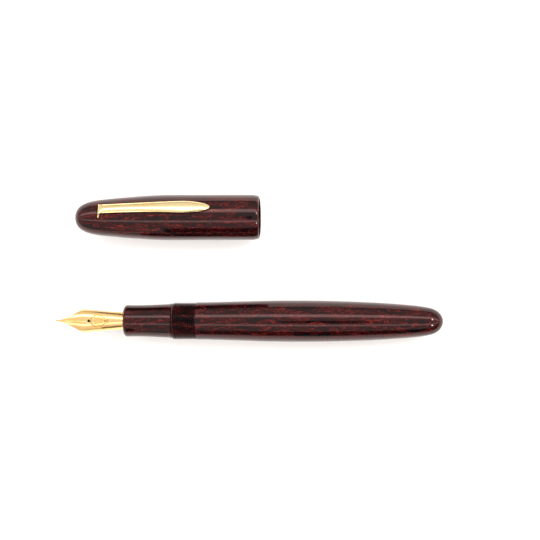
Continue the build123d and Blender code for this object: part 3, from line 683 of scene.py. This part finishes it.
def clip():
    """Clip as one closed strip: domed blade, bend and a foot that flares towards the pen."""
    columns = 24

    def rounding(u):
        """How far the strip's edge is worn round at u across it, as a share of its thickness."""
        return 0.06 * smoothstep(0.86, 1.0, abs(u))

    verts, faces = [], []
    for outer, inner, near_half, far_half, crown in clip_stations():
        depth = (inner[0] - outer[0], inner[1] - outer[1])
        ring = []
        for i in range(columns + 1):
            u = -1 + 2 * i / columns
            drop = crown * u * u + rounding(u)
            half = near_half if u < 0 else far_half
            ring.append((outer[0] + depth[0] * drop, u * half, outer[1] + depth[1] * drop))
        for i in range(columns + 1):
            u = 1 - 2 * i / columns
            lift = rounding(u)
            half = near_half if u < 0 else far_half
            ring.append((inner[0] - depth[0] * lift, u * half, inner[1] - depth[1] * lift))
        verts.extend(leaned(x, across, out) for x, across, out in ring)
    size = 2 * (columns + 1)
    rings = len(verts) // size
    for k in range(rings - 1):
        for i in range(size):
            j = (i + 1) % size
            faces.append((k * size + i, k * size + j, (k + 1) * size + j, (k + 1) * size + i))
    faces.append(tuple(reversed(range(size))))
    faces.append(tuple(range((rings - 1) * size, rings * size)))
    add_mesh("spring_clip", verts, faces, "clip", "clip", [CLIP_GOLD], 40)


# ---- nib ----

NIB_SHEET = 0.42
BREATHER_RADIUS = 0.57
# place, height of the crown, half width of the arc, how far round it goes, how flat its crown is
NIB_SHAPE = [
    (NIB_TIP_X - 0.4, 1.0, 2.6, 1.0, 1.0),
    (NIB_TIP_X + 4.0, 1.75, 3.9, 1.2, 1.12),
    (NIB_SHOULDER_X, 2.62, 4.9, 1.42, 1.3),
    (NIB_TIP_X + 17.0, 3.08, 4.0, 1.45, 1.2),
    (SECTION_FRONT_X, 3.12, 3.12, 1.745, 1.0),
]


def nib_shape(x):
    """Crown, arc and flatness of the nib at x, eased between the stations."""
    if x >= SECTION_FRONT_X:
        return NIB_SHAPE[-1][1:]
    for a, b in zip(NIB_SHAPE, NIB_SHAPE[1:]):
        if x <= b[0]:
            t = max(0.0, (x - a[0]) / (b[0] - a[0]))
            return tuple(p + (q - p) * t for p, q in zip(a[1:], b[1:]))
    return NIB_SHAPE[-1][1:]


def nib_plan():
    """Half width of the nib along its length."""
    tip, shoulder = NIB_TIP_X, NIB_SHOULDER_X
    widest = 4.2
    flank_end = (shoulder - 1.0, 3.72)
    heel_start = (shoulder + 0.7, widest - 0.04)
    heel_end = (SECTION_FRONT_X + 0.5, 3.12)
    return outline(
        bezier((tip + 0.02, 0.16), (tip + 3.2, 0.45), (tip + 6.5, 2.2), flank_end, 40),
        bezier(flank_end, (shoulder - 0.5, 4.02), (shoulder + 0.1, widest + 0.02), heel_start, 14),
        bezier(heel_start, (shoulder + 4.5, 3.72), (shoulder + 9.5, 3.2), heel_end, 40),
    )


ENGRAVING_X = NIB_TIP_X + 15.7
ENGRAVING_DEPTH = 0.08


def engraving(x, across):
    """How far into the engraved ornament a place is, 0 to 1: an oval frame, a flower and two bars."""
    oval_length, oval_width, oval_line = 2.55, 2.2, 0.085
    petal_root, petal_length, petal_line = 0.45, 1.15, 0.17
    bar_places, bar_reach, bar_line = (3.05, 3.6), 2.0, 0.14
    u = x - ENGRAVING_X
    depth = max(0.0, 1 - (abs(math.hypot(u / oval_length, across / oval_width) - 1.0) / oval_line) ** 2)
    reach = math.hypot(u, across)
    if reach < 1.75:
        petals = abs(math.cos(2.5 * math.atan2(across, u)))
        edge = abs(reach - (petal_root + petal_length * petals))
        depth = max(depth, 1 - (edge / petal_line) ** 2)
    for bar in bar_places:
        if abs(across) < bar_reach:
            depth = max(depth, 1 - ((u - bar) / bar_line) ** 2)
    return max(0.0, depth)


def nib_rows():
    """Places along the nib: close together at the breather hole and the engraving."""
    hole_step, engraved_step, plain_step, hidden_step = 0.045, 0.055, 0.16, 1.0
    rows = []
    x = NIB_TIP_X + 0.02
    end = SECTION_FRONT_X + 9.0
    while x < end:
        rows.append(x)
        if x > SECTION_FRONT_X:
            x += hidden_step
        elif abs(x - BREATHER_X) < BREATHER_RADIUS + 0.1:
            x += hole_step
        elif -2.8 < x - ENGRAVING_X < 3.9:
            x += engraved_step
        else:
            x += plain_step
    rows.append(end)
    return rows


def nib():
    """Nib as two halves of curved sheet that meet behind the breather hole."""
    plan = nib_plan()
    rows = nib_rows()
    columns = 84
    hidden_length = 0.6
    slit_edge, slit_rounding = 0.14, 0.05
    # how strongly painted shade darkens the engraved lines and the slit's edges
    engraving_shade, slit_shade = 0.9, 0.7
    verts, faces, shade_amounts = [], [], []

    def point(x, angle, inset):
        """A place on the sheet, round its arc by an angle and in from its outer face."""
        crown, arc, _, flat = nib_shape(x)
        drop = arc * (1 - math.cos(angle)) ** flat
        normal_y, normal_z = math.sin(angle), math.cos(angle)
        return (x, PEN_Y + arc * math.sin(angle) - normal_y * inset, PEN_Z + crown - drop - normal_z * inset)

    def slit(x):
        """Half width of the slit, which tapers almost shut towards the tip."""
        return 0.006 + 0.044 * smoothstep(NIB_TIP_X + 6.5, BREATHER_X, x)

    def gap(x):
        """Half width of the opening between the halves: slit, breather hole, then nothing."""
        if x < BREATHER_X - BREATHER_RADIUS * 0.995:
            return slit(x)
        inside = BREATHER_RADIUS ** 2 - (x - BREATHER_X) ** 2
        if inside <= 0:
            return 0.0
        return max(math.sqrt(inside), slit(x) if x < BREATHER_X else 0.0)

    def slit_bevel_and_shade(x, across):
        """Rounded edges of the slit, with painted shade along them towards the breather hole."""
        if x > BREATHER_X:
            return 0.0
        return max(0.0, 1 - (across - gap(x)) / slit_edge) * smoothstep(NIB_TIP_X + 2.5, NIB_TIP_X + 5.0, x)

    def side_grid(side):
        """One half of the nib, with an outer and an inner layer and closed edges."""
        start = len(verts)
        for x in rows:
            _, arc, around, _ = nib_shape(x)
            open_half = gap(x)
            inner_angle = math.asin(min(1.0, open_half / arc))
            half = at_x(plan, x)
            if x < SECTION_FRONT_X - hidden_length:
                edge_angle = math.asin(min(1.0, half / arc))
            else:
                edge_angle = min(around, math.pi / 2 + (x - SECTION_FRONT_X + hidden_length) * 0.3)
            sheet = NIB_SHEET * (0.55 + 0.45 * smoothstep(NIB_TIP_X, NIB_TIP_X + 5.0, x))
            for layer in (0, 1):
                for i in range(columns + 1):
                    angle = inner_angle + (edge_angle - inner_angle) * (i / columns) ** 1.2
                    across = arc * math.sin(angle)
                    cut = engraving(x, across * side) if layer == 0 else 0.0
                    edge = slit_bevel_and_shade(x, across) if layer == 0 else 0.0
                    inset = sheet * layer + ENGRAVING_DEPTH * cut + slit_rounding * edge
                    verts.append(point(x, angle * side, inset))
                    # painted shade in the engraved lines and along the slit's edges
                    shade_amounts.append(max(engraving_shade * cut, slit_shade * edge))
        width = columns + 1
        for k in range(len(rows) - 1):
            a = start + k * 2 * width
            b = a + 2 * width
            for i in range(columns):
                faces.append((a + i, b + i, b + i + 1, a + i + 1))
                faces.append((a + width + i, a + width + i + 1, b + width + i + 1, b + width + i))
            faces.append((a + columns, b + columns, b + width + columns, a + width + columns))
            if gap(rows[k]) > 0 or gap(rows[k + 1]) > 0:
                faces.append((a, a + width, b + width, b))
        for k in (0, len(rows) - 1):
            a = start + k * 2 * width
            for i in range(columns):
                faces.append((a + i, a + i + 1, a + width + i + 1, a + width + i))

    side_grid(1)
    side_grid(-1)
    piece = add_mesh("nib_sheet", verts, faces, "nib_unit", "nib", [NIB_GOLD], 40)
    # the painted shade amounts go onto the mesh as an attribute for the gold's shade colour
    piece.data.attributes.new("shade_mask", "FLOAT", "POINT").data.foreach_set("value", shade_amounts)
    weld(piece.data, 1e-8, 40)


def tipping():
    """The two halves of the writing pellet, ground smooth underneath."""
    length, half_width, height = 0.42, 0.36, 0.40
    back_stretch, ground, slit_half = 1.7, 0.34, 0.05
    verts, faces = [], []
    centre = (NIB_TIP_X + length, PEN_Y, PEN_Z + 0.60)
    rings, segments = 16, 24
    for side in (-1, 1):
        start = len(verts)
        for i in range(rings + 1):
            tilt = math.pi * i / rings
            for j in range(segments + 1):
                turn = math.pi * j / segments
                x = -math.cos(tilt) * length * (1.0 if tilt < math.pi / 2 else back_stretch)
                y = side * (slit_half + half_width * math.sin(tilt) * math.sin(turn))
                z = height * math.sin(tilt) * math.cos(turn)
                verts.append((centre[0] + x, centre[1] + y, centre[2] + max(z, -ground)))
        width = segments + 1
        for i in range(rings):
            for j in range(segments):
                a = start + i * width + j
                faces.append((a, a + 1, a + width + 1, a + width))
            a, b = start + i * width, start + i * width + segments
            faces.append((a, a + width, b + width, b))
    piece = add_mesh("writing_pellet", verts, faces, "nib_unit", "nib_tipping", [HARD_METAL], 50)
    weld(piece.data, 1e-7, 50, degenerate=True)


barrel()
section()
cap()
clip()
nib()
tipping()

# ---- floor, light and camera ----


def floor():
    """A plain pale square under the object."""
    mesh = bpy.data.meshes.new("floor")
    size = 1.5
    corners = [(-size, -size, 0), (size, -size, 0), (size, size, 0), (-size, size, 0)]
    mesh.from_pydata(corners, [], [(0, 1, 2, 3)])
    plane = bpy.data.objects.new("floor", mesh)
    bpy.context.scene.collection.objects.link(plane)
    material, _, _, shader = new_material("pale_floor")
    shader.inputs["Base Color"].default_value = (0.86, 0.82, 0.79, 1.0)
    shader.inputs["Roughness"].default_value = 0.6
    mesh.materials.append(material)


def world_light():
    """Soft white surroundings with two brighter strips and darker gaps that run along the pen."""
    world = bpy.data.worlds.new("studio")
    bpy.context.scene.world = world
    world.use_nodes = True
    nodes, links = world.node_tree.nodes, world.node_tree.links
    background = nodes["Background"]
    direction = nodes.new("ShaderNodeTexCoord").outputs["Generated"]
    parts = nodes.new("ShaderNodeSeparateXYZ")
    links.new(direction, parts.inputs["Vector"])
    around = maths(nodes, links, "ARCTAN2", parts.outputs["Y"], parts.outputs["Z"])
    share = maths(nodes, links, "MULTIPLY_ADD", around, 1 / (2 * math.pi))
    share.node.inputs[2].default_value = 0.5

    def at(degrees):
        """Share of a turn, with straight up in the middle."""
        return 0.5 + degrees / 360

    def grey(level):
        return (level, level, level)

    # brightness by degrees round the pen's axis from straight up, dim below the floor's level
    dim, side, open_sky, strip_a, strip_b = 0.35, 0.88, 0.92, 3.4, 4.7
    colour = ramp(nodes, links, share, [
        (0.0, grey(dim)),
        (1.0, grey(dim)),
        (at(-90), grey(dim)),
        (at(-75), grey(side)),
        (at(-28), grey(open_sky)),
        (at(-24.5), grey(strip_a)),
        (at(-19.5), grey(strip_a)),
        (at(-16), grey(open_sky)),
        (at(22), grey(0.94)),
        (at(28), grey(strip_b)),
        (at(38), grey(strip_b)),
        (at(42), grey(0.94)),
        (at(70), grey(0.86)),
        (at(90), grey(dim)),
    ])
    # a dark gap low down at the side, which ends short of the nib
    gap = ramp(nodes, links, share, [
        (at(-86), grey(0.0)),
        (at(-82), grey(1.0)),
        (at(-61), grey(1.0)),
        (at(-56), grey(0.0)),
    ])
    reach = nodes.new("ShaderNodeMapRange")
    reach.interpolation_type = "SMOOTHSTEP"
    reach.inputs["From Min"].default_value = -0.166
    reach.inputs["From Max"].default_value = -0.15
    links.new(parts.outputs["X"], reach.inputs["Value"])
    shadow = maths(nodes, links, "MULTIPLY", gap, reach.outputs["Result"])
    opening = maths(nodes, links, "SUBTRACT", 1.0, shadow)

    def glow(centre, spread, level):
        """Round patch in one direction, level times as bright at its middle."""
        aim = nodes.new("ShaderNodeVectorMath")
        aim.operation = "DOT_PRODUCT"
        aim.inputs[1].default_value = Vector(centre).normalized()
        links.new(direction, aim.inputs[0])
        fall = nodes.new("ShaderNodeMapRange")
        fall.interpolation_type = "SMOOTHSTEP"
        fall.inputs["From Min"].default_value = math.cos(math.radians(spread))
        fall.inputs["From Max"].default_value = math.cos(math.radians(spread * 0.6))
        fall.inputs["To Max"].default_value = level
        links.new(aim.outputs["Value"], fall.inputs["Value"])
        return fall.outputs["Result"]

    # two small lamps beyond the pen's end, and the dark of the camera overhead
    lamp_a = glow((0.60, 0.30, 0.75), 4.5, 60.0)
    lamp_b = glow((0.60, -0.50, 0.70), 5.0, 60.0)
    lamps = maths(nodes, links, "ADD", lamp_a, lamp_b)
    across = maths(nodes, links, "MULTIPLY", maths(nodes, links, "SUBTRACT", parts.outputs["X"], 0.03), 1.15)
    along = maths(nodes, links, "ADD", parts.outputs["Y"], 0.052)
    across_squared = maths(nodes, links, "POWER", across, 2.0)
    along_squared = maths(nodes, links, "POWER", along, 2.0)
    squares = maths(nodes, links, "ADD", across_squared, along_squared)
    shade = nodes.new("ShaderNodeMapRange")
    shade.interpolation_type = "SMOOTHSTEP"
    shade.inputs["From Min"].default_value = 0.105 ** 2
    shade.inputs["From Max"].default_value = 0.140 ** 2
    links.new(squares, shade.inputs["Value"])
    bright = nodes.new("ShaderNodeVectorMath")
    bright.operation = "SCALE"
    links.new(colour, bright.inputs[0])
    links.new(maths(nodes, links, "MULTIPLY", shade.outputs["Result"], opening), bright.inputs["Scale"])
    total = nodes.new("ShaderNodeVectorMath")
    total.operation = "ADD"
    links.new(bright.outputs["Vector"], total.inputs[0])
    links.new(lamps, total.inputs[1])
    links.new(total.outputs["Vector"], background.inputs["Color"])


def overhead_light():
    """A wide soft light above, which isn't mirrored in the polish."""
    place = Vector((-0.1, 0.15, 0.8))
    data = bpy.data.lights.new("overhead", "AREA")
    data.shape = "RECTANGLE"
    data.size = data.size_y = 1.4
    data.energy = 4.5
    light = bpy.data.objects.new("overhead", data)
    bpy.context.scene.collection.objects.link(light)
    light.visible_glossy = False
    light.location = place
    light.rotation_euler = (-place).to_track_quat("-Z", "Y").to_euler()


def camera():
    """Looks straight down on the pair from just to the right of its middle."""
    target = Vector((7.92, -0.64, 7.4)) * MM
    distance = 487.0 * MM
    tilt = math.radians(3.35)
    data = bpy.data.cameras.new("camera")
    data.lens = 91.0
    data.sensor_width = 36.0
    eye = bpy.data.objects.new("camera", data)
    bpy.context.scene.collection.objects.link(eye)
    eye.location = target + Vector((math.sin(tilt), 0, math.cos(tilt))) * distance
    eye.rotation_euler = (0.0, tilt, 0.0)
    bpy.context.scene.camera = eye


floor()
world_light()
overhead_light()
camera()
bpy.context.scene.view_settings.view_transform = "Standard"
